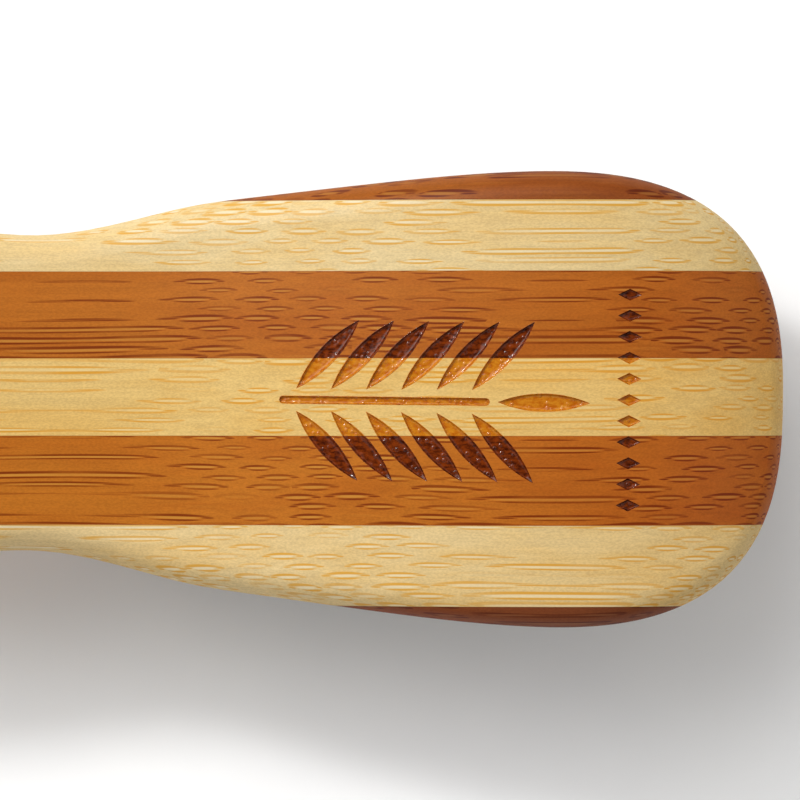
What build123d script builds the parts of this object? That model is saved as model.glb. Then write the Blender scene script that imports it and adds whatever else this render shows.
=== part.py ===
"""Bamboo beard brush: a laminated, lacquered wooden stock with staple-set bristle tufts.

The stock is glued up from seven bamboo strips, light and caramelised in turn, then shaped
as one block: a wide rounded head, a waist and a palm-sized handle, with a back that rises
and falls along its length. Blind holes in the flat face under the head each hold one tuft,
folded in half over a small flat metal staple that bites into the wood beside the fold.

Frame: +X from the handle to the nose of the head, +Z from the bristles to the back, and the
origin on the plane of the bristle tips, under the middle of the brush. Units: millimetres.
"""

from build123d import *
import math
import os

# ---- Driving dimensions -------------------------------------------------------------
LENGTH = 146.0
HEAD_WIDTH = 50.0
HANDLE_WIDTH = 38.0
WAIST_WIDTH = 34.84
BRISTLE_LENGTH = 16.0  # free length, from the wood to the trimmed tips
CREST_THICKNESS = 17.5  # wood at the thickest place of the head

# Plan of the stock, as stations along X and half widths
NOSE_X = LENGTH / 2
BUTT_X = -LENGTH / 2
HEAD_WIDEST_X = NOSE_X - 28.0
WAIST_X = NOSE_X - 82.5
HANDLE_WIDEST_X = BUTT_X + 24.0
NOSE_ROUNDNESS = (2.9, 2.6)  # exponents along X and Y of the ovals that end the stock
BUTT_ROUNDNESS = (2.3, 2.3)
NOSE_TURNS = (90, 66, 48, 33, 20, 9)
BUTT_TURNS = (10, 28, 50, 90)
FLANK = [(2.4, 19.6), (7.5, 20.85), (14.0, 21.83), (28.3, 23.57)]
SHOULDER = [(-28.0, 18.8), (-17.5, 17.9)]  # between the handle and the waist

# Side view of the stock: heights of the back's centre line
UNDERSIDE_Z = BRISTLE_LENGTH
CREST_Z = UNDERSIDE_Z + CREST_THICKNESS
BACK_LINE = [
    (BUTT_X - 1.0, CREST_Z - 8.1),
    (-60.0, CREST_Z - 5.0),
    (-43.0, CREST_Z - 3.7),
    (-24.0, CREST_Z - 4.7),
    (-5.5, CREST_Z - 5.5),
    (6.6, CREST_Z - 5.0),
    (20.4, CREST_Z - 2.9),
    (34.1, CREST_Z - 0.85),
    (47.3, CREST_Z),
    (57.0, CREST_Z - 0.5),
    (66.6, CREST_Z - 3.0),
    (NOSE_X + 1.0, CREST_Z - 8.0),
]
CROWN_RADIUS = 170.0  # of the back across its width
BACK_EDGE_RADIUS = 3.6
UNDER_EDGE_RADIUS = 2.4

# Hollow under the waist and handle, as rises above the plane of the underside
HOLLOW_END_X = 2.0
HOLLOW = [(HOLLOW_END_X, 0.0), (-16.0, 1.6), (-40.0, 1.0), (-60.0, 2.0), (BUTT_X - 2.0, 4.6)]

# Lamination: glue lines across Y, slightly out of line with the stock's own axis
GRAIN_SKEW = 0.7  # degrees about Z
GLUE_LINES = [-23.3, -14.4, -4.6, 3.9, 13.45, 21.25]
STRIP_NAMES = [
    "strip_1_outer_dark",
    "strip_2_light",
    "strip_3_dark",
    "strip_4_middle_light",
    "strip_5_dark",
    "strip_6_light",
    "strip_7_outer_dark",
]

# Bristle field: staggered rows inside an oval
TUFT_PITCH = 4.7
ROW_PITCH = 4.55
ROWS = 9
FIELD_NOSE_X = NOSE_X - 4.8
FIELD_WAIST_X = -3.0
FIELD_HALF_WIDTH = 20.2
FIELD_ROUNDNESS = 2.7
HOLE_RADIUS = 1.35
HOLE_DEPTH = 6.5
HOLE_TIP = 0.8  # height of the drill's cone
TUFT_TIP_RADIUS = 2.1
FLARE_START = 3.0  # the tuft stays a plain bundle for this far outside the wood

# Staple over the fold of each tuft; its ends bite into the wood
STAPLE_WIDTH = 3.3
STAPLE_THICKNESS = 0.4
STAPLE_HEIGHT = 1.6
FOLD_HEIGHT = 0.9  # of the fold, between the staple and the bottom of the hole
ROOT_Z = UNDERSIDE_Z + HOLE_DEPTH
STAPLE_Z = ROOT_Z - FOLD_HEIGHT - STAPLE_HEIGHT / 2  # middle of the staple

# Ornament burnt into the back: a sprig of bamboo leaves and a line of lozenges
ENGRAVING_DEPTH = 0.35
SPRIG_X = 17.5  # root of the stem
SPRIG_Y = -0.4
SPRIG_LENGTH = 23.0
STEM_WIDTH = 0.8
LEAF_LENGTH = 10.0
LEAF_WIDTH = 1.9
LEAF_BULGE = 0.42  # where a leaf is widest, as a share of its length
LEAF_ANGLE = 48.0
LEAF_PAIRS = 6
LEAF_GAP = 0.9  # between the stem and the base of a leaf
LOZENGE_LINE_X = 55.7
LOZENGE_WIDTH = 2.6
LOZENGE_HEIGHT = 1.3
LOZENGE_PITCH = 2.3
LOZENGE_COUNT = 11


def superellipse(centre_x, half_length, half_width, roundness, turns):
    """Points of one quarter of an oval, at the given angles in degrees from its end."""
    power_x, power_y = (2.0 / exponent for exponent in roundness)
    return [
        (
            centre_x + half_length * math.cos(math.radians(turn)) ** power_x,
            half_width * math.sin(math.radians(turn)) ** power_y,
        )
        for turn in turns
    ]


def half_plan():
    """Half outline of the stock, from the butt of the handle to the nose of the head."""
    butt_length = HANDLE_WIDEST_X - BUTT_X
    butt = superellipse(-HANDLE_WIDEST_X, butt_length, HANDLE_WIDTH / 2, BUTT_ROUNDNESS, BUTT_TURNS)
    nose_length = NOSE_X - HEAD_WIDEST_X
    nose = superellipse(HEAD_WIDEST_X, nose_length, HEAD_WIDTH / 2, NOSE_ROUNDNESS, NOSE_TURNS)
    handle = [(BUTT_X, 0.0)] + [(-x, y) for x, y in butt] + SHOULDER
    return handle + [(WAIST_X, WAIST_WIDTH / 2)] + FLANK + nose + [(NOSE_X, 0.0)]


def row_y(row):
    """Place across the brush of a row of tufts, counted from 0."""
    return (row - (ROWS - 1) / 2) * ROW_PITCH


def row_places(row):
    """Centres of the tufts in one row; every second row is shifted by half a pitch."""
    y = row_y(row)
    half_length = (FIELD_NOSE_X - FIELD_WAIST_X) / 2
    centre_x = (FIELD_NOSE_X + FIELD_WAIST_X) / 2
    reach = half_length * (1 - (abs(y) / FIELD_HALF_WIDTH) ** FIELD_ROUNDNESS) ** (1 / FIELD_ROUNDNESS)
    steps = math.ceil(half_length / TUFT_PITCH)
    offsets = [(step + 0.5 * (row % 2)) * TUFT_PITCH for step in range(-steps, steps + 1)]
    return [(centre_x + offset, y) for offset in offsets if abs(offset) <= reach]


def back_surface_body(lowered=0.0):
    """Solid under the back's wavy, crowned surface, longer and wider than the stock."""
    edge_y = HEAD_WIDTH / 2 + 2.0
    with BuildPart() as body:
        for y in (-edge_y, -edge_y / 2, 0.0, edge_y / 2, edge_y):
            drop = CROWN_RADIUS - math.sqrt(CROWN_RADIUS**2 - y**2) + lowered
            with BuildSketch(Plane.XZ.offset(-y)):
                with BuildLine():
                    top = Spline(*[(x, z - drop) for x, z in BACK_LINE])
                    end_x = BACK_LINE[-1][0]
                    start_x = BACK_LINE[0][0]
                    Polyline(top @ 1, (end_x, 0.0), (start_x, 0.0), top @ 0)
                make_face()
        loft()
    return body.part


def shaped_block():
    """The block before drilling: plan, back, hollow under the handle, soft edges."""
    points = half_plan()
    with BuildPart() as block:
        with BuildSketch(Plane.XY.offset(UNDERSIDE_Z)):
            with BuildLine():
                Spline(*points, *[(x, -y) for x, y in reversed(points[1:-1])], periodic=True)
            make_face()
        extrude(amount=CREST_THICKNESS + 1.0)
        with BuildSketch(Plane.XZ.offset(-HEAD_WIDTH)):
            with BuildLine():
                curve = Spline(
                    *[(x, UNDERSIDE_Z + rise) for x, rise in HOLLOW],
                    tangents=[(-1, 0), (-1, 0.25)],
                )
                below = UNDERSIDE_Z - 1.0
                Polyline(curve @ 1, ((curve @ 1).X, below), (HOLLOW_END_X, below), curve @ 0)
            make_face()
        extrude(amount=2 * HEAD_WIDTH, mode=Mode.SUBTRACT)
        add(back_surface_body(), mode=Mode.INTERSECT)
        back_edge = block.edges().group_by(SortBy.LENGTH)[-1]
        fillet(back_edge, BACK_EDGE_RADIUS)
        rim = [
            edge
            for edge in block.edges().filter_by(GeomType.BSPLINE)
            if edge.bounding_box().max.Z < UNDERSIDE_Z + 5.0 and edge.bounding_box().size.Y > 10.0
        ]
        fillet(rim, UNDER_EDGE_RADIUS)
    return block.part


def drilled(block, places):
    """The block with a blind hole for every tuft and the bites of the staples' ends."""
    with BuildPart() as drill:
        Cylinder(HOLE_RADIUS, HOLE_DEPTH + 1.0, align=(Align.CENTER, Align.CENTER, Align.MAX))
        Cone(HOLE_RADIUS, 0.0, HOLE_TIP, align=(Align.CENTER, Align.CENTER, Align.MIN))
    with BuildPart() as stock:
        add(block)
        with Locations(*[(x, y, ROOT_Z) for x, y in places]):
            add(drill.part, mode=Mode.SUBTRACT)
        with Locations(*[(x, y, STAPLE_Z) for x, y in places]):
            Box(STAPLE_WIDTH, STAPLE_THICKNESS, STAPLE_HEIGHT, mode=Mode.SUBTRACT)
    return stock.part


def leaf(x, y, angle):
    """One pointed leaf in the sketch being drawn, growing from its base at an angle."""
    bulge_x = LEAF_BULGE * LEAF_LENGTH
    with BuildSketch(mode=Mode.PRIVATE) as blade:
        with BuildLine():
            ThreePointArc((0, 0), (bulge_x, LEAF_WIDTH / 2), (LEAF_LENGTH, 0))
            ThreePointArc((LEAF_LENGTH, 0), (bulge_x, -LEAF_WIDTH / 2), (0, 0))
        make_face()
    with Locations(Location((x, y), angle)):
        add(blade.sketch)


def ornament_cutter():
    """Everything that the engraving takes away: the ornament's plan, down to its floor."""
    leaf_pitch = SPRIG_LENGTH / LEAF_PAIRS
    half_lozenge = (LOZENGE_WIDTH / 2, LOZENGE_HEIGHT / 2)
    with BuildPart() as cutter:
        with BuildSketch(Plane.XY.offset(UNDERSIDE_Z + 1.0)):
            with Locations((SPRIG_X + SPRIG_LENGTH / 2, SPRIG_Y)):
                SlotOverall(SPRIG_LENGTH, STEM_WIDTH)
            leaf(SPRIG_X + SPRIG_LENGTH + LEAF_GAP, SPRIG_Y, 0.0)
            for pair in range(LEAF_PAIRS):
                base_x = SPRIG_X + (pair + 0.5) * leaf_pitch
                for side in (-1, 1):
                    leaf(base_x, SPRIG_Y + side * (STEM_WIDTH / 2 + LEAF_GAP), side * LEAF_ANGLE)
            with Locations((LOZENGE_LINE_X, 0.0)):
                with GridLocations(LOZENGE_PITCH, LOZENGE_PITCH, 1, LOZENGE_COUNT):
                    reach_x, reach_y = half_lozenge
                    Polygon((reach_x, 0), (0, reach_y), (-reach_x, 0), (0, -reach_y))
        extrude(amount=CREST_THICKNESS + 1.0)
        add(back_surface_body(lowered=ENGRAVING_DEPTH), mode=Mode.SUBTRACT)
    return cutter.part


def glue_plane(y):
    """Upright plane of the glue line that crosses the middle of the brush at y."""
    return Plane.XZ.rotated((0, 0, GRAIN_SKEW)).offset(-y)


def tuft():
    """One bundle, tip on the plane of the origin: straight in its hole, then flaring."""
    flare_z = UNDERSIDE_Z - FLARE_START
    with BuildPart() as bundle:
        with BuildSketch(Plane.XZ):
            with BuildLine():
                Polyline((TUFT_TIP_RADIUS, 0), (0, 0), (0, ROOT_Z + HOLE_TIP), (HOLE_RADIUS, ROOT_Z))
                Line((HOLE_RADIUS, ROOT_Z), (HOLE_RADIUS, flare_z))
                Spline((HOLE_RADIUS, flare_z), (TUFT_TIP_RADIUS, 0), tangents=[(0, -1), (0.12, -1)])
            make_face()
        revolve(axis=Axis.Z)
        with Locations((0, 0, STAPLE_Z)):
            Box(STAPLE_WIDTH, STAPLE_THICKNESS, STAPLE_HEIGHT, mode=Mode.SUBTRACT)
    return bundle.part


def write(piece, name):
    """Label a finished piece and write its file."""
    piece.label = name
    export_step(piece, f"parts/{name}.step")


os.makedirs("parts", exist_ok=True)
rows = [row_places(row) for row in range(ROWS)]
every_place = [place for places in rows for place in places]

# ---- Bamboo stock, shaped and drilled as one block and then parted at its glue lines -----
with BuildPart() as stock:
    add(drilled(shaped_block(), every_place))
    add(ornament_cutter(), mode=Mode.SUBTRACT)

for number, name in enumerate(STRIP_NAMES):
    with BuildPart() as strip:
        add(stock.part)
        if number > 0:
            split(bisect_by=glue_plane(GLUE_LINES[number - 1]), keep=Keep.BOTTOM)
        if number < len(GLUE_LINES):
            split(bisect_by=glue_plane(GLUE_LINES[number]), keep=Keep.TOP)
    write(strip.part, name)

# ---- Bristle tufts and their staples, one node for each row ------------------------------
for number, places in enumerate(rows, start=1):
    with BuildPart() as bundles:
        with Locations(*places):
            add(tuft())
    write(bundles.part, f"tuft_row_{number}")

    with BuildPart() as staples:
        with Locations(*[(x, y, STAPLE_Z) for x, y in places]):
            Box(STAPLE_WIDTH, STAPLE_THICKNESS, STAPLE_HEIGHT)
    write(staples.part, f"staple_row_{number}")
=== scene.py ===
"""Looks of a bamboo beard brush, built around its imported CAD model.

The seven bamboo strips and the steel staples are the CAD's own solids, dressed with
procedural finishes. The bristle tufts and the burnt lining of the engraving are made here,
mostly by Geometry Nodes, and baked to plain meshes. Lengths are metres unless a name says
millimetres; the frame is the CAD's: +X to the nose, +Z to the back, floor at Z = 0.
"""

from __future__ import annotations

import logging
import math
from collections.abc import Callable
from dataclasses import dataclass
from enum import Enum

import bmesh
import bpy
import numpy as np
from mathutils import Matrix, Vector
from mathutils.bvhtree import BVHTree

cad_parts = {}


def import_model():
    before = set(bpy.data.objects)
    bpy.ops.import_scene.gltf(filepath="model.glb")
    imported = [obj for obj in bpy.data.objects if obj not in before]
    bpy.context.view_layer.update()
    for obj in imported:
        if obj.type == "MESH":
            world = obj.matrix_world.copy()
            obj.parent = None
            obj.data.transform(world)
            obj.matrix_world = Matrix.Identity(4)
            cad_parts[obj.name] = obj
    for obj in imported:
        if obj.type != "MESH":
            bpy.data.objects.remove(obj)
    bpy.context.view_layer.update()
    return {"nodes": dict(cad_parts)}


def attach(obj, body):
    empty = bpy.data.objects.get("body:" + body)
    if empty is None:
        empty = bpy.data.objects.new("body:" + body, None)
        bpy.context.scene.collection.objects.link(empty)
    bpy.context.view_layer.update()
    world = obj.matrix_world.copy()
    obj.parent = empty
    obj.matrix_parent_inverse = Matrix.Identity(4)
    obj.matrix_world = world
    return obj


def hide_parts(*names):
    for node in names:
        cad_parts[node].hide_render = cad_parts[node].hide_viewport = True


log = logging.getLogger("beard_brush")

MM = 0.001
BODY = "root"
GRAIN_SKEW_DEG = 0.7  # of the strips to the brush's own axis, anticlockwise from above

Colour = tuple[float, float, float]
Place = tuple[float, float, float]
Object = bpy.types.Object
Material = bpy.types.Material
Socket = bpy.types.NodeSocket
Value = float | int | bool | tuple | Socket | bpy.types.ID


# ---- Node graphs ----


class Graph:
    """Builds one node tree, shader or geometry, one call per node."""

    def __init__(self, tree: bpy.types.NodeTree) -> None:
        """Start from an empty tree.

        Args:
            tree: The node tree to fill; nodes already in it are removed.
        """
        self.tree = tree
        tree.nodes.clear()

    def node(self, kind: str, inputs: dict[str | int, Value] | None = None, **settings) -> bpy.types.Node:
        """Add a node.

        Args:
            kind: The node's Blender type name.
            inputs: Values or sockets to plug in, by input name or index.
            **settings: Properties of the node itself, such as its operation.

        Returns:
            The new node.
        """
        made = self.tree.nodes.new(kind)
        for name, setting in settings.items():
            setattr(made, name, setting)
        for key, value in (inputs or {}).items():
            self.plug(made.inputs[key], value)
        return made

    def plug(self, socket: Socket, value: Value) -> None:
        """Link a socket to another, or set its own value.

        Args:
            socket: The input to fill.
            value: An output socket, or a plain value.
        """
        if isinstance(value, Socket):
            self.tree.links.new(value, socket)
        else:
            socket.default_value = value

    def math(self, operation: str, a: Value, b: Value = 0.0, c: Value = 0.0) -> Socket:
        """Add a Math node and return its result."""
        return self.node("ShaderNodeMath", {0: a, 1: b, 2: c}, operation=operation).outputs[0]

    def times(self, a: Value, b: Value) -> Socket:
        """a * b."""
        return self.math("MULTIPLY", a, b)

    def plus(self, a: Value, b: Value) -> Socket:
        """a + b."""
        return self.math("ADD", a, b)

    def minus(self, a: Value, b: Value) -> Socket:
        """a - b."""
        return self.math("SUBTRACT", a, b)

    def times_plus(self, a: Value, b: Value, c: Value) -> Socket:
        """a * b + c."""
        return self.math("MULTIPLY_ADD", a, b, c)

    def vector(self, operation: str, a: Value, b: Value = (0.0, 0.0, 0.0)) -> Socket:
        """Add a Vector Math node and return its result, a number for a length or a dot product."""
        made = self.node("ShaderNodeVectorMath", {0: a, 1: b}, operation=operation)
        return made.outputs["Value" if operation in ("LENGTH", "DOT_PRODUCT") else "Vector"]

    def scaled(self, vector: Value, by: Value) -> Socket:
        """Multiply a vector by a number."""
        return self.node("ShaderNodeVectorMath", {0: vector, "Scale": by}, operation="SCALE").outputs[0]

    def split(self, vector: Value) -> tuple[Socket, Socket, Socket]:
        """Part a vector into its three numbers."""
        return tuple(self.node("ShaderNodeSeparateXYZ", {0: vector}).outputs)

    def combine(self, x: Value, y: Value, z: Value) -> Socket:
        """Join three numbers into a vector."""
        return self.node("ShaderNodeCombineXYZ", {0: x, 1: y, 2: z}).outputs[0]

    def ramp(
        self, value: Value, low: float, high: float, to_low: float = 0.0, to_high: float = 1.0
    ) -> Socket:
        """Map a value smoothly from one range to another, clamped at both ends.

        Args:
            value: The value to map.
            low: Input that gives to_low.
            high: Input that gives to_high.
            to_low: Result at and before low.
            to_high: Result at and past high.

        Returns:
            The mapped value.
        """
        inputs = {"Value": value, "From Min": low, "From Max": high, "To Min": to_low, "To Max": to_high}
        return self.node("ShaderNodeMapRange", inputs, interpolation_type="SMOOTHSTEP").outputs[0]

    def noise(self, place: Value, scale: Place, detail: float = 2.0, roughness: float = 0.5) -> Socket:
        """Noise stretched by its own scale along each axis, about 0.5."""
        stretched = self.vector("MULTIPLY", place, scale)
        inputs = {"Vector": stretched, "Scale": 1.0, "Detail": detail, "Roughness": roughness}
        return self.node("ShaderNodeTexNoise", inputs).outputs[0]

    def place(self) -> Socket:
        """Place on the object in metres."""
        return self.node("ShaderNodeTexCoord").outputs["Object"]

    def grain_place(self) -> Socket:
        """Place on the object in millimetres, turned to run along the strips."""
        skew = (0.0, 0.0, -math.radians(GRAIN_SKEW_DEG))
        inputs = {"Vector": self.place(), "Rotation": skew, "Scale": (1 / MM,) * 3}
        return self.node("ShaderNodeMapping", inputs).outputs[0]

    def bump(self, strength: float, height_mm: float, height: Value) -> Socket:
        """Tilt the surface by a height, and return the tilted normal."""
        inputs = {"Strength": strength, "Distance": height_mm * MM, "Height": height}
        return self.node("ShaderNodeBump", inputs).outputs[0]

    def mix(self, share: Value, a: Value, b: Value, blend: str = "MIX") -> Socket:
        """Mix two colours and return the result."""
        made = self.node("ShaderNodeMix", data_type="RGBA", blend_type=blend, clamp_factor=True)
        self.plug(made.inputs[0], share)
        self.plug(made.inputs[6], a if isinstance(a, Socket) else (*a, 1.0))
        self.plug(made.inputs[7], b if isinstance(b, Socket) else (*b, 1.0))
        return made.outputs[2]


def new_material(name: str) -> tuple[Material, Graph]:
    """Make an empty node material.

    Args:
        name: The material's name.

    Returns:
        The material, and the graph that fills it.
    """
    material = bpy.data.materials.new(name)
    material.use_nodes = True
    return material, Graph(material.node_tree)


def finish_surface(graph: Graph, inputs: dict[str, Value]) -> None:
    """End a material in a Principled surface.

    Args:
        graph: The material's graph.
        inputs: What goes into the surface, by input name.
    """
    surface = graph.node("ShaderNodeBsdfPrincipled", inputs)
    graph.node("ShaderNodeOutputMaterial", {"Surface": surface.outputs[0]})


def link_object(name: str, data: bpy.types.ID) -> Object:
    """Put a mesh, light or camera in the scene as an object.

    Args:
        name: The object's name.
        data: What the object holds.

    Returns:
        The object, at the origin.
    """
    made = bpy.data.objects.new(name, data)
    bpy.context.scene.collection.objects.link(made)
    return made


# ---- Bamboo ----


class Tone(Enum):
    """The two kinds of bamboo in the block."""

    LIGHT = "light"
    DARK = "dark"


@dataclass(frozen=True)
class BambooPalette:
    """Colours of one kind of bamboo, linear, from its ground to its fibres.

    Attributes:
        ground: Soft tissue between the bundles.
        warm: Warmer patches of the ground.
        fibre: The four fibre caps of each bundle.
        lumen: The pale vessels in the middle of each bundle.
        seam: A film of stain beside the glue lines.
        clarity: How clearly the bundles stand out, from 0 to 1.
    """

    ground: Colour
    warm: Colour
    fibre: Colour
    lumen: Colour
    seam: Colour
    clarity: float


PALETTES = {
    Tone.LIGHT: BambooPalette(
        ground=(0.545, 0.408, 0.198),
        warm=(0.53, 0.362, 0.142),
        fibre=(0.505, 0.258, 0.034),
        lumen=(0.60, 0.52, 0.345),
        seam=(0.42, 0.305, 0.135),
        clarity=0.93,
    ),
    Tone.DARK: BambooPalette(
        ground=(0.352, 0.112, 0.019),
        warm=(0.31, 0.086, 0.0135),
        fibre=(0.150, 0.025, 0.003),
        lumen=(0.41, 0.185, 0.048),
        seam=(0.22, 0.046, 0.007),
        clarity=1.0,
    ),
}


@dataclass(frozen=True)
class Bamboo:
    """Lacquered bamboo of one strip: bundles running along X, seen wherever they are cut.

    Attributes:
        tone: Light or dark.
        tint: What this board's own colour is to the palette's.
        nose_shade_tint: The same at the nose, darker there: painted shade of the back sloping away from the
            light.
        seed: Sets this strip's own pattern.
        skin_side: +1 if the outer skin of the culm faced +Y, -1 if it faced -Y.
        low_y_mm: The strip's lower side, in the grain's own frame.
        high_y_mm: Its upper side.
        pitch_mm: Spacing of the bundles across the strip and in depth.
        shift_mm: How far the pattern moves from one seed to the next.
        bend_x_mm: Where the bundles start to bend towards the nose.
        bend: How fast they bend, in millimetres of depth for each square millimetre.
        nose_shade_x_mm: Where a board's tint starts and ends its way to its nose tint, the span of that
            painted shade.
        outer_cap_mm: Place of the cap on the skin side, its reach across and in depth.
        inner_cap_mm: The same for the cap on the pith side.
        side_cap_mm: The same for the two small caps beside the vessels.
        vessels_mm: Reach of the vessels across and in depth.
    """

    tone: Tone
    tint: Colour
    nose_shade_tint: Colour
    seed: float
    skin_side: int
    low_y_mm: float
    high_y_mm: float
    pitch_mm: tuple[float, float] = (1.08, 1.0)
    shift_mm: tuple[float, float] = (31.7, 13.3)
    bend_x_mm: float = 58.0
    bend: float = 0.0125
    nose_shade_x_mm: tuple[float, float] = (22.0, 66.0)
    outer_cap_mm: tuple[float, float, float] = (0.30, 0.165, 0.41)
    inner_cap_mm: tuple[float, float, float] = (0.31, 0.110, 0.27)
    side_cap_mm: tuple[float, float, float] = (0.38, 0.09, 0.10)
    vessels_mm: tuple[float, float] = (0.17, 0.26)

    def material(self, name: str) -> Material:
        """Build the strip's material.

        Args:
            name: The material's name.

        Returns:
            The material.
        """
        material, g = new_material(name)
        colours = PALETTES[self.tone]
        turned = g.grain_place()
        shift_x, shift_z = (self.seed * step for step in self.shift_mm)
        grain = g.vector("ADD", turned, (shift_x, 0.0, shift_z))
        caps, lumen = self._bundles(g, grain)

        streaks = g.noise(grain, (0.03, 2.2, 2.2), detail=4.0, roughness=0.6)
        patches = g.noise(grain, (0.06, 0.3, 0.3), detail=2.0)
        speckle = g.noise(grain, (3.0, 6.5, 6.5), detail=2.0)
        colour = g.mix(g.ramp(patches, 0.35, 0.7, 0.0, 0.8), colours.ground, colours.warm)
        tint = g.plus(g.ramp(streaks, 0.3, 0.7, 0.93, 1.05), g.ramp(speckle, 0.3, 0.7, -0.09, 0.09))
        colour = g.mix(g.times(lumen, 0.75), g.scaled(colour, tint), colours.lumen)
        colour = g.mix(caps, colour, colours.fibre)
        colour = g.mix(self._seam(g, turned), colour, colours.seam)
        # Painted shade: darker towards the nose, standing in for the shade where the back slopes away from
        # the light.
        nose_shade_share = g.ramp(g.split(turned)[0], *self.nose_shade_x_mm)
        colour = g.mix(1.0, colour, g.mix(nose_shade_share, self.tint, self.nose_shade_tint), blend="MULTIPLY")

        relief = g.times_plus(caps, -0.4, g.times(streaks, 0.5))
        ripple = g.noise(turned, (0.25, 0.45, 0.45), detail=1.0)
        height = g.times_plus(ripple, 3.0, relief)
        finish_surface(
            g,
            {
                "Base Color": colour,
                "Roughness": g.ramp(speckle, 0.3, 0.7, 0.38, 0.48),
                "Normal": g.bump(0.25, 0.006, height),
                "Specular IOR Level": 0.0,
                "Coat Weight": 0.25,
                "Coat Roughness": 0.34,
                "Coat IOR": 1.5,
            },
        )
        return material

    def _bundles(self, g: Graph, grain: Socket) -> tuple[Socket, Socket]:
        """Draw the vascular bundles, one in each cell of a staggered lattice across the grain.

        Args:
            g: The material's graph.
            grain: Place in millimetres, X along the grain.

        Returns:
            How much of a point is fibre cap, and how much is pale vessel.
        """
        pitch_y, pitch_z = self.pitch_mm
        slow = g.vector("MULTIPLY", grain, (0.022, 0.06, 0.06))
        drift = g.node("ShaderNodeTexNoise", {"Vector": slow, "Scale": 1.0, "Detail": 1.0}).outputs["Color"]
        sway = g.vector("MULTIPLY", g.vector("SUBTRACT", drift, (0.5, 0.5, 0.5)), (0.0, 1.1, 1.3))
        along, across, level = g.split(g.vector("ADD", grain, sway))
        bend_start = self.seed * self.shift_mm[0] + self.bend_x_mm
        past = g.math("MAXIMUM", g.minus(along, bend_start), 0.0)
        depth = g.times_plus(g.times(past, past), self.bend, level)

        column = g.math("DIVIDE", across, pitch_y)
        column_index = g.math("FLOOR", column)
        own = g.node("ShaderNodeTexWhiteNoise", {"Vector": g.combine(column_index, self.seed, 0.0)})
        phase = g.times(own.outputs["Value"], 0.45)
        stagger = g.times_plus(column_index, 0.5, phase)
        row = g.plus(g.math("DIVIDE", depth, pitch_z), stagger)
        row_index = g.math("FLOOR", row)
        chance = g.node(
            "ShaderNodeTexWhiteNoise",
            {"Vector": g.combine(column_index, row_index, self.seed)},
            noise_dimensions="3D",
        )
        chance_rgb = g.node("ShaderNodeSeparateColor", {0: chance.outputs["Color"]}).outputs
        skin = self._skin_share(g, across)
        own_size = g.ramp(chance_rgb[2], 0.0, 1.0, 0.82, 1.12)
        size = g.times(own_size, g.ramp(skin, 0.0, 1.0, 1.0, 0.72))
        jitter_y = g.times_plus(chance_rgb[0], 0.22, -0.61)
        jitter_z = g.times_plus(chance_rgb[1], 0.22, -0.61)
        a = g.times(g.plus(g.math("FRACT", column), jitter_y), pitch_y)
        b = g.times(g.plus(g.math("FRACT", row), jitter_z), pitch_z)
        a = g.times(g.math("DIVIDE", a, size), float(self.skin_side))
        b = g.math("DIVIDE", b, size)

        # a runs from the pith to the skin across the bundle, b along its depth
        bow = g.times(g.times(b, b), 0.9)
        away, *reach = self.outer_cap_mm
        outer = self._blot(g, g.minus(g.plus(a, bow), away), b, *reach)
        away, *reach = self.inner_cap_mm
        inner = self._blot(g, g.plus(g.minus(a, bow), away), b, *reach)
        away, *reach = self.side_cap_mm
        left = self._blot(g, a, g.plus(b, away), *reach)
        right = self._blot(g, a, g.minus(b, away), *reach)
        caps = g.math("MAXIMUM", g.math("MAXIMUM", outer, inner), g.math("MAXIMUM", left, right))
        lumen = self._blot(g, a, b, *self.vessels_mm)

        clarity = PALETTES[self.tone].clarity
        present = g.ramp(chance.outputs["Value"], 0.05, 1.25 - clarity, 0.0, clarity)
        fading = g.noise(g.combine(along, column_index, row_index), (0.14, 5.3, 7.1), detail=1.0)
        strength = g.times(present, g.ramp(fading, 0.3, 0.6, 0.55, 1.0))
        return g.times(caps, strength), g.times(lumen, strength)

    def _skin_share(self, g: Graph, across: Socket) -> Socket:
        """How near a place is to the culm's skin side of the strip, from 0 to 1."""
        pith, skin = self.low_y_mm, self.high_y_mm
        if self.skin_side < 0:
            pith, skin = skin, pith
        inputs = {"Value": across, "From Min": pith, "From Max": skin}
        return g.node("ShaderNodeMapRange", inputs, clamp=True).outputs[0]

    def _blot(self, g: Graph, a: Value, b: Value, radius_a: float, radius_b: float) -> Socket:
        """A soft-edged oval about the place where a and b are 0."""
        place = g.combine(g.math("DIVIDE", a, radius_a), g.math("DIVIDE", b, radius_b), 0.0)
        reach = g.vector("LENGTH", place)
        return g.ramp(reach, 1.25, 0.65)

    def _seam(self, g: Graph, turned: Socket) -> Socket:
        """Stain beside the strip's two glue lines."""
        across = g.split(turned)[1]
        to_low = g.minus(across, self.low_y_mm)
        to_high = g.minus(self.high_y_mm, across)
        return g.ramp(g.math("MINIMUM", to_low, to_high), 0.12, 0.0, 0.0, 0.6)


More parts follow.
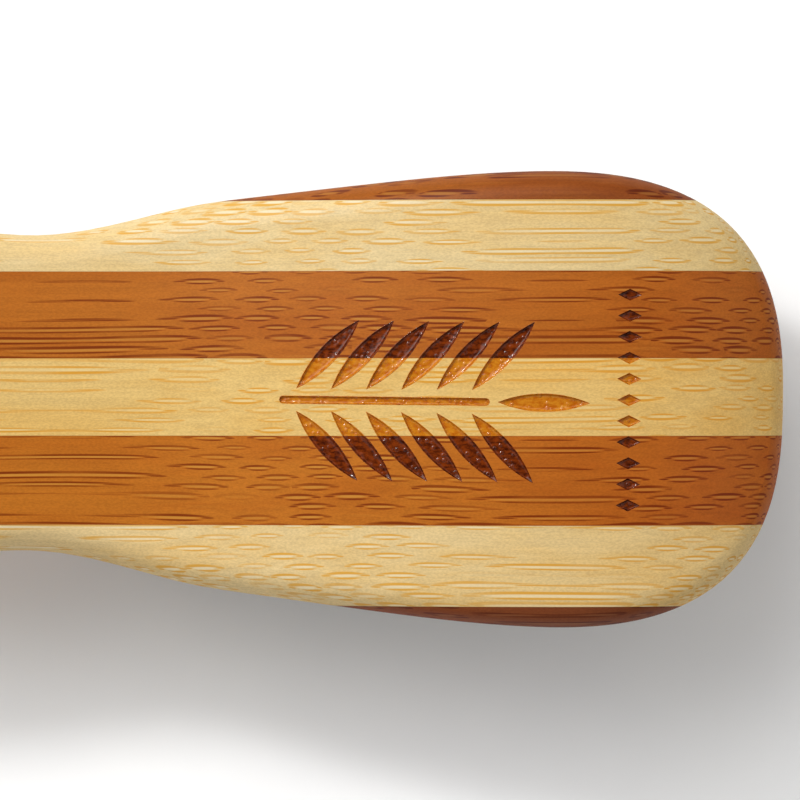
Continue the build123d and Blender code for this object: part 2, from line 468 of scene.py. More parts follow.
@dataclass
class BambooStock:
    """The seven strips of the laminated stock.

    Attributes:
        nodes: CAD node of each strip, from -Y to +Y.
        glue_lines_mm: Where the grain's frame crosses from strip to strip.
        outer_y_mm: Half the width that the outermost strips are milled to.
        skin_sides: Which way each board's outer skin faced.
        tints: Each board's own colour, beside its palette's.
        nose_shade_tints: The same, at the nose, darker there: painted shade of the back sloping away from
            the light.
    """

    nodes: tuple[str, ...] = (
        "strip_1_outer_dark",
        "strip_2_light",
        "strip_3_dark",
        "strip_4_middle_light",
        "strip_5_dark",
        "strip_6_light",
        "strip_7_outer_dark",
    )
    glue_lines_mm: tuple[float, ...] = (-23.3, -14.4, -4.6, 3.9, 13.45, 21.25)
    outer_y_mm: float = 31.0
    skin_sides: tuple[int, ...] = (1, 1, 1, -1, 1, -1, 1)
    tints: tuple[Colour, ...] = (
        (0.57, 0.43, 0.58),
        (1.05, 1.04, 1.04),
        (1.08, 1.06, 0.61),
        (1.00, 0.90, 0.66),
        (0.97, 0.91, 0.58),
        (0.99, 1.01, 1.06),
        (0.72, 0.62, 0.35),
    )
    # Painted shade: each board is darkened at the nose, where the back slopes away from the light.
    nose_shade_tints: tuple[Colour, ...] = (
        (0.43, 0.34, 0.49),
        (1.02, 0.97, 0.88),
        (0.96, 0.76, 0.46),
        (1.02, 0.88, 0.60),
        (0.90, 0.76, 0.48),
        (0.96, 0.95, 0.92),
        (0.50, 0.38, 0.30),
    )

    def dress(self, cad: dict[str, Object]) -> None:
        """Give each strip its own bamboo.

        Args:
            cad: The CAD's nodes by name.
        """
        edges = (-self.outer_y_mm, *self.glue_lines_mm, self.outer_y_mm)
        for number, node in enumerate(self.nodes):
            tone = Tone.DARK if "dark" in node else Tone.LIGHT
            finish = Bamboo(
                tone,
                self.tints[number],
                self.nose_shade_tints[number],
                number + 1.0,
                self.skin_sides[number],
                edges[number],
                edges[number + 1],
            )
            cad[node].data.materials[0] = finish.material(f"bamboo_{node}")
            log.info("%s dressed as %s bamboo", node, tone.value)


# ---- Geometry trees ----


class GrowingTree(Graph):
    """A geometry tree on one piece's seed mesh, from its named inputs to its material."""

    def __init__(self, name: str) -> None:
        """Start a tree with one geometry input and output.

        Args:
            name: The tree's name.
        """
        super().__init__(bpy.data.node_groups.new(name, "GeometryNodeTree"))
        self._socket("Geometry", "NodeSocketGeometry", "OUTPUT")
        self._socket("Geometry", "NodeSocketGeometry", "INPUT")
        self.values: dict[str, Value] = {}
        self.given = self.tree.nodes.new("NodeGroupInput")

    def _socket(self, name: str, kind: str, side: str) -> str:
        """Add a socket to the tree's interface and return its identifier."""
        return self.tree.interface.new_socket(name, in_out=side, socket_type=kind).identifier

    def setting(self, name: str, value: Value) -> Socket:
        """Add a named input.

        Args:
            name: The input's name.
            value: What the modifier sets it to.

        Returns:
            The socket that gives it inside the tree.
        """
        kinds = {
            int: "NodeSocketInt",
            float: "NodeSocketFloat",
            Object: "NodeSocketObject",
            Material: "NodeSocketMaterial",
        }
        self.values[self._socket(name, kinds[type(value)], "INPUT")] = value
        return self.given.outputs[name]

    def field(self, kind: str, inputs: dict[str | int, Value] | None = None, **settings) -> Socket:
        """Add a node and return its first output."""
        return self.node(kind, inputs, **settings).outputs[0]

    def chance(self, index: Socket, low: float, high: float, seed: int) -> Socket:
        """A random number for each index, always the same for one seed."""
        made = self.node("FunctionNodeRandomValue", {"ID": index, "Seed": seed}, data_type="FLOAT")
        self.plug(made.inputs[2], low)
        self.plug(made.inputs[3], high)
        return made.outputs[1]

    def keep(self, geometry: Socket, name: str, value: Value, kind: str = "FLOAT") -> Socket:
        """Store a value on the points under a name."""
        inputs = {"Geometry": geometry, "Name": name}
        made = self.node("GeometryNodeStoreNamedAttribute", inputs, data_type=kind)
        self.plug(made.inputs["Value"], value)
        return made.outputs[0]

    def kept(self, name: str, kind: str = "FLOAT") -> Socket:
        """Read a value that was stored under a name."""
        return self.field("GeometryNodeInputNamedAttribute", {"Name": name}, data_type=kind)

    def share(self, value: Value, low: float, high: float) -> Socket:
        """How far a value is from low to high, straight and clamped to 0 to 1."""
        inputs = {"Value": value, "From Min": low, "From Max": high}
        return self.field("ShaderNodeMapRange", inputs, clamp=True)

    def place_at(self, geometry: Socket, position: Socket) -> Socket:
        """Move every point of a geometry to its new place."""
        return self.field("GeometryNodeSetPosition", {"Geometry": geometry, "Position": position})

    def end(self, geometry: Socket, material: Socket) -> None:
        """Finish the tree: real geometry, smooth, in its material."""
        real = self.field("GeometryNodeRealizeInstances", {"Geometry": geometry})
        smooth = self.field("GeometryNodeSetShadeSmooth", {"Geometry": real})
        dressed = self.field("GeometryNodeSetMaterial", {"Geometry": smooth, "Material": material})
        self.node("NodeGroupOutput", {"Geometry": dressed})

    def grow(self, seed: Object, name: str) -> Object:
        """Run the tree on a seed mesh and keep the result as a plain mesh.

        Args:
            seed: The object whose mesh the tree starts from; it is removed.
            name: The grown piece's name.

        Returns:
            The grown piece, at the origin.
        """
        modifier = seed.modifiers.new("growing", "NODES")
        modifier.node_group = self.tree
        for identifier, value in self.values.items():
            modifier[identifier] = value
        evaluated = seed.evaluated_get(bpy.context.evaluated_depsgraph_get())
        mesh = bpy.data.meshes.new_from_object(evaluated)
        seed.modifiers.remove(modifier)
        bpy.data.objects.remove(seed)
        mesh.name = name
        piece = link_object(name, mesh)
        log.info("%s: %d faces", name, len(mesh.polygons))
        return piece


def seed_object(
    name: str, points: list[Place], attributes: dict[str, list[float]] | None = None
) -> Object:
    """Make an object of loose points for a tree to start from.

    Args:
        name: The object's name.
        points: Where the points are, in metres.
        attributes: Numbers to keep on the points, by name.

    Returns:
        The object, linked to the scene.
    """
    mesh = bpy.data.meshes.new(name)
    mesh.from_pydata(points, [], [])
    for key, values in (attributes or {}).items():
        mesh.attributes.new(key, "FLOAT", "POINT").data.foreach_set("value", values)
    return link_object(name, mesh)


# ---- Burnt engraving ----


@dataclass(frozen=True)
class BurntLacquer:
    """Scorched wood under a pool of glossy lacquer: near black in dark strips, amber in light ones.

    Attributes:
        dark_strips_mm: Lower and upper side of each dark strip, in the grain's own frame.
        char: Colours burnt into dark bamboo, from deep to thin.
        amber: Colours burnt into light bamboo, from deep to thin.
        drops_per_mm: How close together the drops of lacquer may stand.
        bare_share: Share of those places that have no drop.
        drop_height_mm: How high the drops stand.
    """

    dark_strips_mm: tuple[tuple[float, float], ...] = ((-14.4, -4.6), (3.9, 13.45))
    char: tuple[Colour, Colour] = ((0.034, 0.0038, 0.0005), (0.165, 0.026, 0.002))
    amber: tuple[Colour, Colour] = ((0.34, 0.080, 0.002), (0.47, 0.175, 0.010))
    drops_per_mm: float = 1.6
    bare_share: float = 0.35
    drop_height_mm: float = 0.065

    def material(self) -> Material:
        """Build the material."""
        material, g = new_material("burnt_lacquer")
        turned = g.grain_place()
        across = g.split(turned)[1]
        in_dark: Value = 0.0
        for low, high in self.dark_strips_mm:
            above = g.math("GREATER_THAN", across, low)
            in_dark = g.times_plus(above, g.math("LESS_THAN", across, high), in_dark)
        scorch = g.ramp(g.noise(turned, (1.2, 2.4, 2.4), detail=4.0, roughness=0.65), 0.32, 0.68)
        colour = g.mix(in_dark, g.mix(scorch, *self.amber), g.mix(scorch, *self.char))
        cells = {"Vector": turned, "Scale": self.drops_per_mm, "Randomness": 1.0}
        beads = g.node("ShaderNodeTexVoronoi", cells)
        lot = g.node("ShaderNodeSeparateColor", {0: beads.outputs["Color"]}).outputs[0]
        drops = g.math("GREATER_THAN", lot, self.bare_share)
        off_centre = g.math("POWER", beads.outputs["Distance"], 2.0)
        swell = g.times(g.ramp(off_centre, 0.17, 0.0), drops)
        crust = g.noise(turned, (2.5, 5.0, 5.0), detail=3.0)
        height = g.times_plus(crust, 0.10, swell)
        bumps = g.bump(1.0, self.drop_height_mm, height)
        finish_surface(
            g,
            {
                "Base Color": colour,
                "Roughness": g.ramp(scorch, 0.0, 1.0, 0.35, 0.50),
                "Normal": bumps,
                "Specular IOR Level": 0.0,
                "Coat Weight": 0.55,
                "Coat Roughness": 0.06,
                "Coat IOR": 1.5,
                "Coat Normal": bumps,
            },
        )
        return material


@dataclass(frozen=True)
class Stroke:
    """One cut of the engraving, seen from above: its length, and half its width along it.

    Attributes:
        length_mm: From end to end, starting at X = 0.
        half_width_mm: Half width at a place along it.
        breaks_mm: Places along it where the outline has a corner.
    """

    length_mm: float
    half_width_mm: Callable[[float], float]
    breaks_mm: tuple[float, ...] = ()

    def template(self, name: str, depth_mm: float, rim_mm: float) -> Object:
        """Make the lining of one cut: a bowl, a raised edge and a thin lip that laps outwards.

        Args:
            name: The object's name.
            depth_mm: How deep the bowl is where the cut is wide.
            rim_mm: How far the lip laps over the edge.

        Returns:
            The object; Z is the height over the brush's back.
        """
        lip_z, edge_z, station_mm = -0.012, 0.02, 0.32
        inner = (0.0, 0.35, 0.6, 0.75, 0.84, 0.90, 0.94)
        sides = [(-1, r) for r in reversed(inner[1:])] + [(1, r) for r in inner]
        count = max(10, round(self.length_mm / station_mm))
        shares = [0.5 - 0.5 * math.cos(math.pi * i / count) for i in range(count + 1)]
        stations = sorted({round(s * self.length_mm, 4) for s in shares} | set(self.breaks_mm))
        rows = []
        for x in stations:
            half = max(self.half_width_mm(x), 0.0)
            deep = min(depth_mm, 0.9 * half)
            row = [(x, side * r * half, -deep * (1 - (r / 0.95) ** 7)) for side, r in sides]
            row = [(x, -half, edge_z), *row, (x, half, edge_z)]
            rows.append([(x, -half - rim_mm, lip_z), *row, (x, half + rim_mm, lip_z)])
        start, end = -2.2 * rim_mm, self.length_mm + 2.2 * rim_mm
        width = len(rows[0])
        rows = [[(start, 0.0, lip_z)] * width, *rows, [(end, 0.0, lip_z)] * width]
        shell = bmesh.new()
        grid = [[shell.verts.new(Vector(p) * MM) for p in row] for row in rows]
        for low, high in zip(grid, grid[1:]):
            for i in range(width - 1):
                shell.faces.new((low[i], high[i], high[i + 1], low[i + 1]))
        bmesh.ops.remove_doubles(shell, verts=shell.verts, dist=0.002 * MM)
        bmesh.ops.dissolve_degenerate(shell, edges=shell.edges, dist=0.001 * MM)
        mesh = bpy.data.meshes.new(name)
        shell.to_mesh(mesh)
        shell.free()
        return link_object(name, mesh)


@dataclass
class Engraving:
    """The leafy sprig and the row of lozenges burnt into the back.

    Attributes:
        sprig_root_mm: Where the stem starts.
        stem_length_mm: Length of the stem.
        stem_width_mm: Width of the stem.
        leaf_length_mm: Length of a leaf.
        leaf_width_mm: Width of a leaf, measured at its bulge.
        leaf_bulge: Where that is, as a share of the leaf's length.
        leaf_angle_deg: Angle of the side leaves to the stem.
        leaf_pairs: Number of pairs of side leaves.
        leaf_gap_mm: Gap between the stem and the base of a leaf.
        lozenge_mm: Length and width of a lozenge.
        lozenge_line_x_mm: Where the row of lozenges is.
        lozenge_pitch_mm: Spacing of the lozenges.
        lozenge_count: Number of lozenges.
        depth_mm: Depth of a lining.
        rim_mm: How far its lip laps over the cut's edge.
        sheet_x_mm: Where the sheet through the back starts and ends.
        sheet_y_mm: Half its width.
        sheet_degree: Highest powers of X and Y in its surface.
        drops_per_mm: How close together the drops of lacquer stand.
        drop_height_mm: How high they stand.
        high_mm: A height well over the brush, to look down from.
    """

    sprig_root_mm: tuple[float, float] = (17.5, -0.4)
    stem_length_mm: float = 23.0
    stem_width_mm: float = 0.8
    leaf_length_mm: float = 10.0
    leaf_width_mm: float = 1.9
    leaf_bulge: float = 0.42
    leaf_angle_deg: float = 48.0
    leaf_pairs: int = 6
    leaf_gap_mm: float = 0.9
    lozenge_mm: tuple[float, float] = (2.6, 1.3)
    lozenge_line_x_mm: float = 55.7
    lozenge_pitch_mm: float = 2.3
    lozenge_count: int = 11
    depth_mm: float = 0.30
    rim_mm: float = 0.06
    sheet_x_mm: tuple[float, float] = (14.0, 60.0)
    sheet_y_mm: float = 14.0
    sheet_degree: tuple[int, int] = (5, 4)
    drops_per_mm: float = 1.9
    drop_height_mm: float = 0.05
    high_mm: float = 60.0

    def build(self, cad: dict[str, Object]) -> None:
        """Line every cut of the engraving.

        Args:
            cad: The CAD's nodes by name.
        """
        sheet = self._back_sheet([o for name, o in cad.items() if name.startswith("strip_")])
        material = BurntLacquer().material()
        root_x, root_y = self.sprig_root_mm
        leaves = [(root_x + self.stem_length_mm + self.leaf_gap_mm, root_y, 0.0)]
        for pair in range(self.leaf_pairs):
            base_x = root_x + (pair + 0.5) * self.stem_length_mm / self.leaf_pairs
            for side in (-1, 1):
                base_y = root_y + side * (self.stem_width_mm / 2 + self.leaf_gap_mm)
                leaves.append((base_x, base_y, side * self.leaf_angle_deg))
        middle = (self.lozenge_count - 1) / 2
        lozenges = [
            (self.lozenge_line_x_mm - self.lozenge_mm[0] / 2, (i - middle) * self.lozenge_pitch_mm, 0.0)
            for i in range(self.lozenge_count)
        ]
        for name, stroke, places in (
            ("burnt_leaves", self._leaf(), leaves),
            ("burnt_stem", self._stem(), [(root_x, root_y, 0.0)]),
            ("burnt_lozenges", self._lozenge(), lozenges),
        ):
            template = stroke.template(f"{name}_template", self.depth_mm, self.rim_mm)
            piece = self._line(name, template, places, sheet, material)
            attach(piece, BODY)
            bpy.data.objects.remove(template)
        bpy.data.objects.remove(sheet)

    def _leaf(self) -> Stroke:
        """A leaf: an arc on each side, meeting in points at both ends."""
        length, half = self.leaf_length_mm, self.leaf_width_mm / 2
        through = self.leaf_bulge * length
        rise = (through * (length - through) - half**2) / (2 * half)
        radius = math.hypot(length / 2, rise)

        def half_width(x: float) -> float:
            """Half width of a leaf."""
            return math.sqrt(max(radius**2 - (x - length / 2) ** 2, 0.0)) - rise

        return Stroke(length, half_width)

    def _stem(self) -> Stroke:
        """The stem: straight, with round ends."""
        length, end = self.stem_length_mm, self.stem_width_mm / 2

        def half_width(x: float) -> float:
            """Half width of the stem."""
            into = min(x, length - x, end)
            return math.sqrt(max(end**2 - (end - into) ** 2, 0.0))

        near = tuple(end * share for share in (0.05, 0.2, 0.45, 0.7, 1.0))
        return Stroke(length, half_width, near + tuple(length - x for x in near))

    def _lozenge(self) -> Stroke:
        """One lozenge."""
        length, width = self.lozenge_mm

        def half_width(x: float) -> float:
            """Half width of a lozenge."""
            return width / 2 * (1 - abs(2 * x / length - 1))

        return Stroke(length, half_width, (length / 2,))

    def _back_sheet(self, strips: list[Object]) -> Object:
        """A smooth sheet through the brush's back, as it was before the cuts.

        Args:
            strips: The bamboo strips.

        Returns:
            The sheet, a little larger than the engraving.
        """
        bpy.context.view_layer.update()
        trees = []
        for strip in strips:
            corners = [v.co.copy() for v in strip.data.vertices]
            trees.append(BVHTree.FromPolygons(corners, [tuple(p.vertices) for p in strip.data.polygons]))
        (low_x, high_x), side, ray_mm, grid_mm = self.sheet_x_mm, self.sheet_y_mm, 0.7, 0.5
        found = []
        for x in np.arange(low_x, high_x + 0.5, ray_mm):
            for y in np.arange(-side, side + 0.1, ray_mm):
                start = Vector((x, y, self.high_mm)) * MM
                hits = [tree.ray_cast(start, Vector((0, 0, -1)))[0] for tree in trees]
                heights = [hit.z / MM for hit in hits if hit is not None]
                if heights:
                    found.append((x, y, max(heights)))
        x, y, z = np.array(found).T
        terms, use = self._powers(x, y), np.ones(len(z), bool)
        for limit in (0.5, 0.2, 0.1, 0.04, 0.03):
            best = np.linalg.lstsq(terms[use], z[use], rcond=None)[0]
            off = z - terms @ best
            use = (off > -limit) & (off < limit)
        log.info("back sheet: %d of %d places, worst %.3f mm", use.sum(), len(z), np.abs(off[use]).max())
        xs, ys = np.arange(low_x, high_x + 0.01, grid_mm), np.arange(-side, side + 0.01, grid_mm)
        x, y = (axis.ravel() for axis in np.meshgrid(xs, ys, indexing="ij"))
        points = np.stack([x, y, self._powers(x, y) @ best], axis=1) * MM
        n = len(ys)
        faces = [
            (i * n + j, (i + 1) * n + j, (i + 1) * n + j + 1, i * n + j + 1)
            for i in range(len(xs) - 1)
            for j in range(n - 1)
        ]
        mesh = bpy.data.meshes.new("back_sheet")
        mesh.from_pydata(points.tolist(), [], faces)
        return link_object("back_sheet", mesh)

    def _powers(self, x: np.ndarray, y: np.ndarray) -> np.ndarray:
        """The terms of the sheet's surface at each place, one row for each."""
        reach_x, reach_y = 25.0, 15.0  # bring both to about -1 to 1
        u, v = (x - sum(self.sheet_x_mm) / 2) / reach_x, y / reach_y
        power_x, power_y = self.sheet_degree
        return np.stack([u**i * v**j for i in range(power_x + 1) for j in range(power_y + 1)], axis=1)

    def _line(
        self,
        name: str,
        template: Object,
        places: list[Place],
        sheet: Object,
        material: Material,
    ) -> Object:
        """Set one lining in each cut of a kind, draped on the brush's back.

        Args:
            name: The piece's name.
            template: The lining of one cut.
            places: X, Y and turn in degrees of each cut.
            sheet: The brush's back.
            material: The linings' material.

        Returns:
            The piece.
        """
        t = GrowingTree(f"{name}_lining")
        lining, back = t.setting("Lining", template), t.setting("Back", sheet)
        burnt = t.setting("Material", material)
        shape = t.node("GeometryNodeObjectInfo", {"Object": lining}).outputs["Geometry"]
        surface = t.node("GeometryNodeObjectInfo", {"Object": back}).outputs["Geometry"]
        turn = t.combine(0.0, 0.0, t.kept("turn"))
        placed = t.field(
            "GeometryNodeInstanceOnPoints",
            {"Points": t.given.outputs["Geometry"], "Instance": shape, "Rotation": turn},
        )
        real = t.field("GeometryNodeRealizeInstances", {"Geometry": placed})
        real = t.field("GeometryNodeSubdivideMesh", {"Mesh": real, "Level": 1})
        place = t.field("GeometryNodeInputPosition")
        x, y, flat_z = t.split(place)
        cells = {"Vector": place, "Scale": self.drops_per_mm / MM, "Randomness": 1.0}
        off_centre = t.math("POWER", t.field("ShaderNodeTexVoronoi", cells), 2.0)
        bowl = t.share(flat_z, -0.04 * MM, -0.16 * MM)
        drop = t.times(t.ramp(off_centre, 0.20, 0.0), bowl)
        z = t.times_plus(drop, self.drop_height_mm * MM, flat_z)
        above = t.combine(x, y, self.high_mm * MM)
        hit = t.node(
            "GeometryNodeRaycast",
            {"Target Geometry": surface, "Source Position": above, "Ray Direction": (0.0, 0.0, -1.0)},
        )
        ground = t.split(hit.outputs["Hit Position"])[2]
        draped = t.place_at(real, t.combine(x, y, t.plus(ground, z)))
        t.end(draped, burnt)
        points = [(x_mm * MM, y_mm * MM, 0.0) for x_mm, y_mm, _ in places]
        seed = seed_object(f"{name}_places", points, {"turn": [math.radians(a) for _, _, a in places]})
        return t.grow(seed, name)


# ---- Bristles and staples ----


@dataclass(frozen=True)
class BoarBristle:
    """Natural black boar bristle, browner from hair to hair and towards the flagged tips.

    Attributes:
        deep: The darkest hairs.
        brown: The lightest hairs.
        tip: The split ends.
    """

    deep: Colour = (0.012, 0.008, 0.006)
    brown: Colour = (0.075, 0.038, 0.018)
    tip: Colour = (0.20, 0.125, 0.070)

    def material(self) -> Material:
        """Build the material."""
        material, g = new_material("boar_bristle")
        shade = g.node("ShaderNodeAttribute", attribute_name="shade").outputs["Fac"]
        reach = g.node("ShaderNodeAttribute", attribute_name="reach").outputs["Fac"]
        place = g.place()
        mottle = g.noise(place, (1.0 / MM, 1.0 / MM, 0.35 / MM), detail=2.0)
        hair = g.mix(g.times(shade, g.ramp(mottle, 0.3, 0.7, 0.6, 1.0)), self.deep, self.brown)
        flag = g.times(g.ramp(reach, 0.86, 1.0), g.times_plus(shade, 0.6, 0.25))
        scales = g.noise(place, (6.0 / MM, 6.0 / MM, 14.0 / MM), detail=1.0)
        finish_surface(
            g,
            {
                "Base Color": g.mix(flag, hair, self.tip),
                "Roughness": g.ramp(mottle, 0.3, 0.7, 0.32, 0.48),
                "Normal": g.bump(0.3, 0.01, scales),
                "Specular IOR Level": 0.6,
            },
        )
        return material


@dataclass
class Bristles:
    """Nine rows of tufts, each of hairs folded over its staple in a hole of the block.

    Attributes:
        rows: Number of rows.
        hairs: Folded hairs in each tuft.
        mouth_z_mm: Height of the holes' mouths.
        bend_z_mm: Where the hairs leave the staple's sides.
        fold_z_mm: Height of the fold over the staple.
        hole_radius_mm: How far the hairs reach from the hole's middle inside it.
        staple_gap_mm: How far the hairs keep from the staple's middle.
        flare: How far the hairs spread outside the hole, as a share of their place in it.
        stray_mm: How far a hair's tip wanders.
        unevenness_mm: How much the tips differ in height.
        root_radius_mm: A hair's radius at its fold.
        tip_radius_mm: Its radius at its tip.
        bend_share: Where a leg passes the staple, from 0 at the fold to 1 at the tip.
        mouth_share: Where it leaves the hole.
        places: Number of points along a hair.
    """

    rows: int = 9
    hairs: int = 44
    mouth_z_mm: float = 16.0
    bend_z_mm: float = 21.6
    fold_z_mm: float = 22.3
    hole_radius_mm: float = 1.22
    staple_gap_mm: float = 0.30
    flare: float = 0.60
    stray_mm: float = 0.16
    unevenness_mm: float = 0.45
    root_radius_mm: float = 0.09
    tip_radius_mm: float = 0.055
    bend_share: float = 0.125
    mouth_share: float = 0.375
    places: int = 17

    def build(self, cad: dict[str, Object]) -> None:
        """Grow every row in place of its CAD solids.

        Args:
            cad: The CAD's nodes by name.
        """
        material = BoarBristle().material()
        for row in range(1, self.rows + 1):
            node = f"tuft_row_{row}"
            centres = self._centres(cad[node])
            tree = self._tree(material, row)
            piece = tree.grow(seed_object(f"bristle_roots_{row}", centres), f"bristle_row_{row}")
            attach(piece, BODY)
            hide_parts(node)
            log.info("%s: %d tufts", piece.name, len(centres))

    def _centres(self, node: Object) -> list[Place]:
        """Find the middle of each tuft's hole in a row.

        Args:
            node: The row's CAD node.

        Returns:
            The middles at the holes' mouths, in metres.
        """
        floor = (self.mouth_z_mm + 0.5) * MM
        inside = sorted(v.co.to_tuple() for v in node.data.vertices if v.co.z > floor)
        groups = [[inside[0]]]
        for point in inside[1:]:
            if point[0] - groups[-1][-1][0] > 1.2 * MM:
                groups.append([])
            groups[-1].append(point)
        centres = []
        for group in groups:
            low, high = np.min(group, axis=0), np.max(group, axis=0)
            middle = (low + high) / 2
            centres.append((float(middle[0]), float(middle[1]), self.mouth_z_mm * MM))
        return centres

    def _tree(self, material: Material, row: int) -> GrowingTree:
        """Build the tree that grows one row from the middles of its holes.

        Args:
            material: The hairs' material.
            row: The row's number, for its own random seeds.

        Returns:
            The tree.
        """
        t = GrowingTree(f"bristle_row_{row}_growth")
        hairs = t.setting("Hairs", self.hairs)
        root = t.setting("Root radius", self.root_radius_mm * MM)
        tip = t.setting("Tip radius", self.tip_radius_mm * MM)
        spread, hair = t.setting("Flare", self.flare), t.setting("Material", material)

        points = t.field("GeometryNodeMeshToPoints", {"Mesh": t.given.outputs["Geometry"]})
        amount = {"Geometry": points, "Amount": hairs}
        copies = t.field("GeometryNodeDuplicateElements", amount, domain="POINT")
        index = t.field("GeometryNodeInputIndex")
        seeds = 20 * row
        stray, gap = self.stray_mm * MM, self.staple_gap_mm * MM
        for number, leg in enumerate(("near", "far")):
            angle = t.chance(index, 0.03 * math.pi, 0.97 * math.pi, seeds + 3 * number)
            reach = t.math("SQRT", t.chance(index, 0.03, 1.0, seeds + 3 * number + 1))
            out_x = t.times(reach, t.math("COSINE", angle))
            out_x = t.times(out_x, self.hole_radius_mm * MM)
            out_y = t.times(reach, t.math("SINE", angle))
            out_y = t.times(out_y, (self.hole_radius_mm - self.staple_gap_mm) * MM)
            out_y = t.times(t.plus(out_y, gap), 1.0 - 2.0 * number)
            inward = t.scaled(t.combine(out_x, out_y, 0.0), 0.97)
            copies = t.keep(copies, f"{leg}_leg", inward, "FLOAT_VECTOR")
            wander = t.combine(
                t.chance(index, -stray, stray, seeds + 3 * number + 2),
                t.chance(index, -stray, stray, seeds + 8 + number),
                t.chance(index, 0.0, self.unevenness_mm * MM, seeds + 11 + number),
            )
            copies = t.keep(copies, f"{leg}_wander", wander, "FLOAT_VECTOR")
        copies = t.keep(copies, "shade", t.math("POWER", t.chance(index, 0.0, 1.0, seeds + 14), 1.6))
        copies = t.keep(copies, "centre", t.field("GeometryNodeInputPosition"), "FLOAT_VECTOR")

        line = t.field("GeometryNodeCurvePrimitiveLine", {"Start": (0.0, 0.0, 0.0), "End": (0.0, 0.0, MM)})
        line = t.field("GeometryNodeResampleCurve", {"Curve": line, "Count": self.places})
        curves = t.field("GeometryNodeInstanceOnPoints", {"Points": copies, "Instance": line})
        curves = t.field("GeometryNodeRealizeInstances", {"Geometry": curves})

        # along runs from one tip (-1) over the fold (0) to the other (1)
        along = t.times_plus(t.field("GeometryNodeSplineParameter"), 2.0, -1.0)
        q = t.math("ABSOLUTE", along)
        far = t.math("LESS_THAN", along, 0.0)
        leg, wander = self._either(t, far, "leg"), self._either(t, far, "wander")
        stray_x, stray_y, short = t.split(wander)
        at_staple = t.share(q, 0.0, self.bend_share)
        in_hole = t.share(q, self.bend_share, self.mouth_share)
        free = t.share(q, self.mouth_share, 1.0)
        easing = t.math("POWER", free, 1.25)

        grown = t.times_plus(easing, spread, 1.0)
        sideways = t.scaled(leg, t.times(at_staple, grown))
        strayed = t.scaled(t.combine(stray_x, stray_y, 0.0), easing)
        drop = t.times(at_staple, (self.fold_z_mm - self.bend_z_mm) * MM)
        drop = t.times_plus(in_hole, (self.bend_z_mm - self.mouth_z_mm) * MM, drop)
        fall = t.minus((self.mouth_z_mm - self.tip_radius_mm) * MM, short)
        drop = t.times_plus(free, fall, drop)
        height = t.minus((self.fold_z_mm - self.mouth_z_mm) * MM, drop)
        offset = t.vector("ADD", t.vector("ADD", sideways, strayed), t.combine(0.0, 0.0, height))
        curves = t.place_at(curves, t.vector("ADD", t.kept("centre", "FLOAT_VECTOR"), offset))
        curves = t.keep(curves, "reach", q)
        radius = t.times_plus(t.share(q, 0.3, 1.0), t.minus(tip, root), root)
        curves = t.field("GeometryNodeSetCurveRadius", {"Curve": curves, "Radius": radius})
        ring = t.field("GeometryNodeCurvePrimitiveCircle", {"Resolution": 3, "Radius": 1.0})
        t.end(self._tube(t, curves, ring, radius), hair)
        return t

    def _either(self, t: GrowingTree, far: Socket, what: str) -> Socket:
        """What is kept for the leg that a point belongs to."""
        made = t.node("ShaderNodeMix", data_type="VECTOR")
        t.plug(made.inputs[0], far)
        t.plug(made.inputs[4], t.kept(f"near_{what}", "FLOAT_VECTOR"))
        t.plug(made.inputs[5], t.kept(f"far_{what}", "FLOAT_VECTOR"))
        return made.outputs[1]

    def _tube(self, t: GrowingTree, curves: Socket, ring: Socket, radius: Socket) -> Socket:
        """Sweep the ring along the hairs at their radius."""
        inputs = {"Curve": curves, "Profile Curve": ring, "Fill Caps": True}
        made = t.node("GeometryNodeCurveToMesh", inputs)
        if "Scale" in made.inputs:
            t.plug(made.inputs["Scale"], radius)
        return made.outputs[0]


@dataclass(frozen=True)
class DrawnSteel:
    """Bright steel wire, flattened, with draw marks along it.

    Attributes:
        colour: The clean metal.
    """

    colour: Colour = (0.60, 0.59, 0.57)

    def material(self) -> Material:
        """Build the material."""
        material, g = new_material("drawn_steel")
        place = g.place()
        marks = g.noise(place, (0.4 / MM, 14.0 / MM, 14.0 / MM), detail=3.0)
        smear = g.noise(place, (0.8 / MM, 0.8 / MM, 0.8 / MM), detail=2.0)
        shade = g.mix(g.ramp(smear, 0.35, 0.65), self.colour, tuple(0.82 * c for c in self.colour))
        finish_surface(
            g,
            {
                "Base Color": shade,
                "Metallic": 1.0,
                "Roughness": g.ramp(marks, 0.3, 0.7, 0.22, 0.40),
                "Normal": g.bump(0.4, 0.008, marks),
            },
        )
        return material


@dataclass
class Staples:
    """The steel staples that hold the tufts, as the CAD has them.

    Attributes:
        rows: Number of rows.
    """

    rows: int = 9

    def dress(self, cad: dict[str, Object]) -> None:
        """Give the staples their finish.

        Args:
            cad: The CAD's nodes by name.
        """
        steel = DrawnSteel().material()
        for row in range(1, self.rows + 1):
            cad[f"staple_row_{row}"].data.materials[0] = steel
        log.info("%d rows of staples dressed", self.rows)


# ---- Studio ----


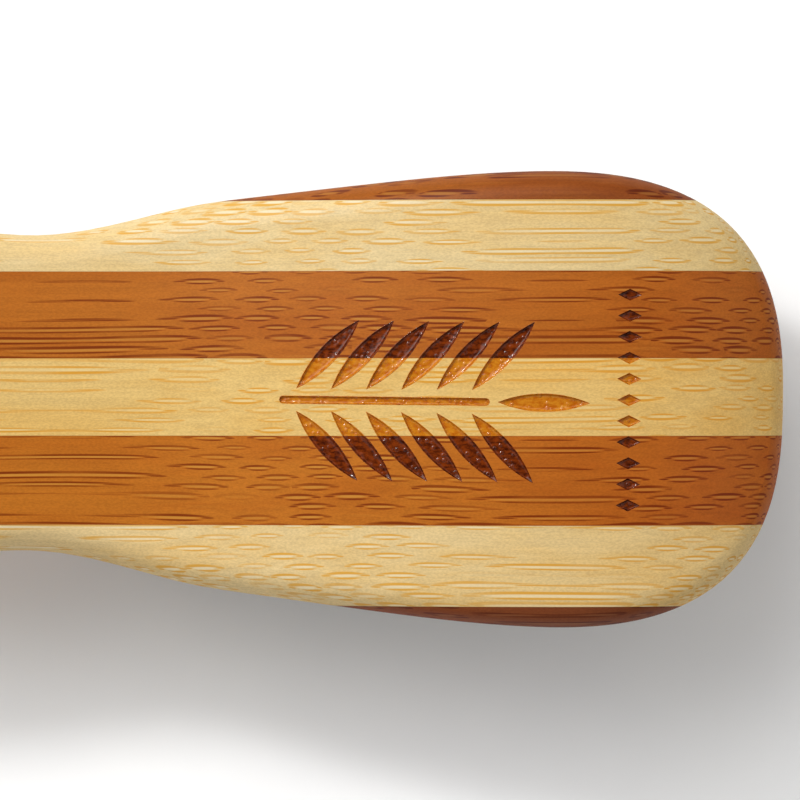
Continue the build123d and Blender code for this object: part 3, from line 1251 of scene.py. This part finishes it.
@dataclass
class Studio:
    """Floor, lights and camera.

    Attributes:
        view_centre_mm: What the camera looks straight down on.
        view_width_mm: Width of the picture at that place.
        camera_height_mm: Camera's height over the floor.
        floor_size: Length of the floor's side, in metres.
        sensor_mm: Width of the camera's sensor.
        window_direction: Where the window is.
        window_edge: Cosine of the angle from its middle to its edge.
        window_light: Its strength in the middle.
        room_light: Strength of the room's walls.
        lamp_place: Where the small lamp stands, in metres.
        lamp_size: Length of its side, in metres.
        lamp_power: Its power in watts.
    """

    view_centre_mm: Place = (30.72, -0.3, 28.0)
    view_width_mm: float = 87.9
    camera_height_mm: float = 730.0
    floor_size: float = 6.0
    sensor_mm: float = 36.0
    window_direction: Place = (-0.478, 0.569, 0.669)
    window_edge: float = 0.80
    window_light: float = 3.52
    room_light: float = 0.76
    lamp_place: Place = (-0.36, 0.44, 0.56)
    lamp_size: float = 0.12
    lamp_power: float = 3.4

    def build(self) -> None:
        """Make the floor, the lights and the camera."""
        self._floor()
        self._world()
        self._lamp()
        self._camera()
        bpy.context.scene.view_settings.view_transform = "Standard"
        log.info("studio built")

    def _floor(self) -> None:
        """A pale matt floor under the bristle tips."""
        half = self.floor_size / 2
        mesh = bpy.data.meshes.new("floor")
        corners = [(-half, -half, 0.0), (half, -half, 0.0), (half, half, 0.0), (-half, half, 0.0)]
        mesh.from_pydata(corners, [], [(0, 1, 2, 3)])
        floor = link_object("floor", mesh)
        material, g = new_material("pale_floor")
        place = g.place()
        cloud = g.noise(place, (40.0, 40.0, 40.0), detail=3.0)
        colour = g.mix(g.ramp(cloud, 0.3, 0.7), (0.90, 0.90, 0.90), (0.93, 0.93, 0.925))
        finish_surface(g, {"Base Color": colour, "Roughness": 0.65, "Specular IOR Level": 0.3})
        mesh.materials.append(material)

    def _world(self) -> None:
        """A dim room, darker overhead and low down, with one wide, soft window on the upper left."""
        world = bpy.data.worlds.new("studio")
        world.use_nodes = True
        g = Graph(world.node_tree)
        away = g.vector("NORMALIZE", g.node("ShaderNodeTexCoord").outputs["Generated"])
        toward = g.vector("DOT_PRODUCT", away, Vector(self.window_direction).normalized()[:])
        overhead = g.split(away)[2]
        low = g.ramp(overhead, 0.05, 0.50, 0.35 * self.room_light, self.room_light)
        room = g.times(low, g.ramp(overhead, 0.80, 0.95, 1.0, 0.1))
        strength = g.plus(room, g.ramp(toward, self.window_edge, 1.0, 0.0, self.window_light))
        light = g.node("ShaderNodeBackground", {"Color": (1.0, 1.0, 1.0, 1.0), "Strength": strength})
        g.node("ShaderNodeOutputWorld", {"Surface": light.outputs[0]})
        bpy.context.scene.world = world

    def _lamp(self) -> None:
        """A small square lamp that faces the middle of the brush."""
        data = bpy.data.lights.new("key", "AREA")
        data.size, data.energy = self.lamp_size, self.lamp_power
        lamp = link_object("key", data)
        lamp.location = self.lamp_place
        lamp.rotation_euler = (-Vector(self.lamp_place)).to_track_quat("-Z", "Y").to_euler()

    def _camera(self) -> None:
        """A long lens straight above, turned with the strips."""
        x, y, z = self.view_centre_mm
        data = bpy.data.cameras.new("camera")
        data.sensor_width = self.sensor_mm
        data.lens = self.sensor_mm * (self.camera_height_mm - z) / self.view_width_mm
        camera = link_object("camera", data)
        camera.location = (x * MM, y * MM, self.camera_height_mm * MM)
        camera.rotation_euler = (0.0, 0.0, math.radians(GRAIN_SKEW_DEG))
        bpy.context.scene.camera = camera


def main() -> None:
    """Build the brush around its frame and report each piece."""
    logging.basicConfig(level=logging.INFO, format="%(name)s: %(message)s")
    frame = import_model()
    cad = frame["nodes"]
    BambooStock().dress(cad)
    Engraving().build(cad)
    Bristles().build(cad)
    Staples().dress(cad)
    Studio().build()


if __name__ == "__main__":
    main()
